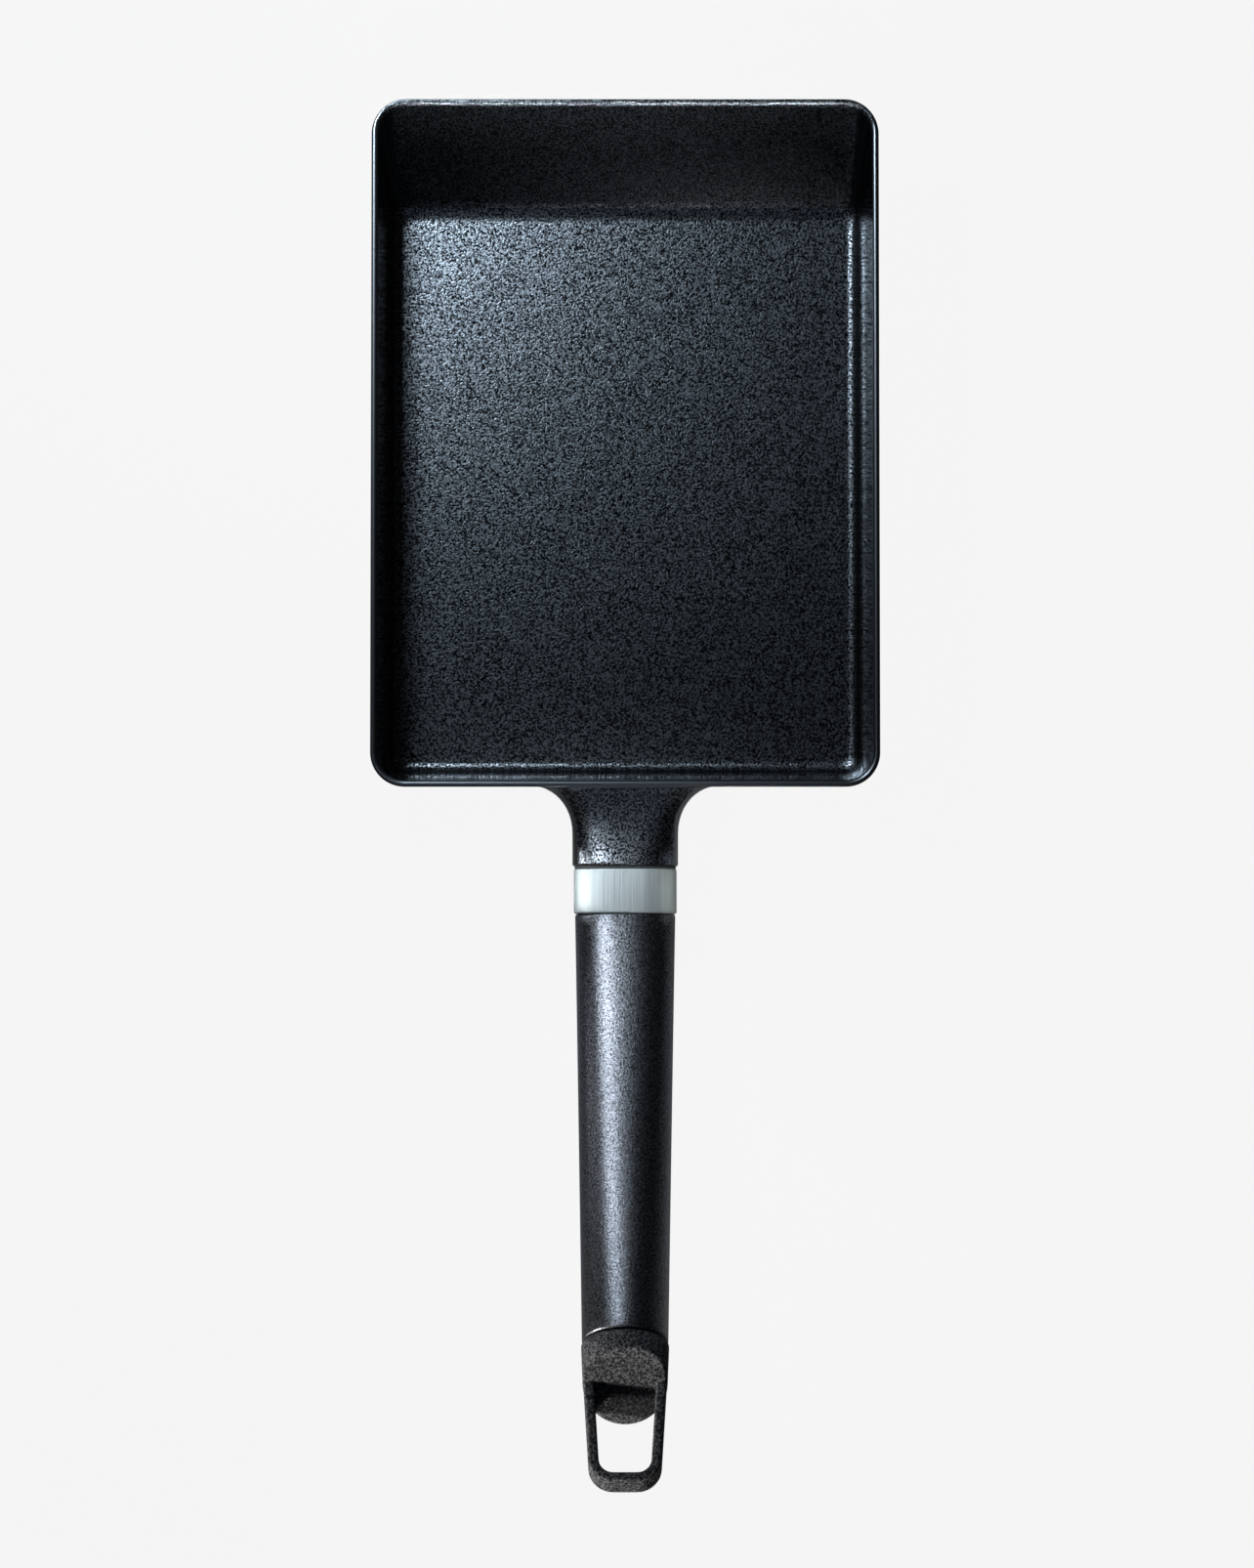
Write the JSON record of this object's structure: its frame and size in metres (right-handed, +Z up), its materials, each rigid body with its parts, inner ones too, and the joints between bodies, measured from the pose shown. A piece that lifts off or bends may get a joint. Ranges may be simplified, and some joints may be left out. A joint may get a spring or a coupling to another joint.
{
  "type": "egg pan",
  "caption": "Rectangular egg pan with one sloped end wall, a cast neck, a steel ferrule, an upswept black grip and a grained end cap with a hanging loop.",
  "frame": {"origin": "on the plane of the flat base, under the middle of the rim", "axes": "+Z up out of the pan, +Y towards the sloped far wall, the handle runs to -Y"},
  "size_m": [0.1388, 0.3772, 0.0673],
  "materials": {
    "pan_iron": "black coated casting, grained floor, satin walls",
    "gasket_fibre": "matte black",
    "ferrule_steel": "brushed along the handle",
    "grip_resin": "satin black, fine grain",
    "cap_resin": "matte black, coarse grain",
    "fastener_steel": "zinc plated"
  },
  "bodies": {
    "root": {"pan_body": "pan_iron", "neck_gasket": "gasket_fibre", "ferrule": "ferrule_steel", "grip": "grip_resin", "tie_bolt": "fastener_steel", "flat_washer": "fastener_steel", "lock_washer": "fastener_steel", "end_cap": "cap_resin", "cap_screw": "fastener_steel"}
  },
  "joints": []
}
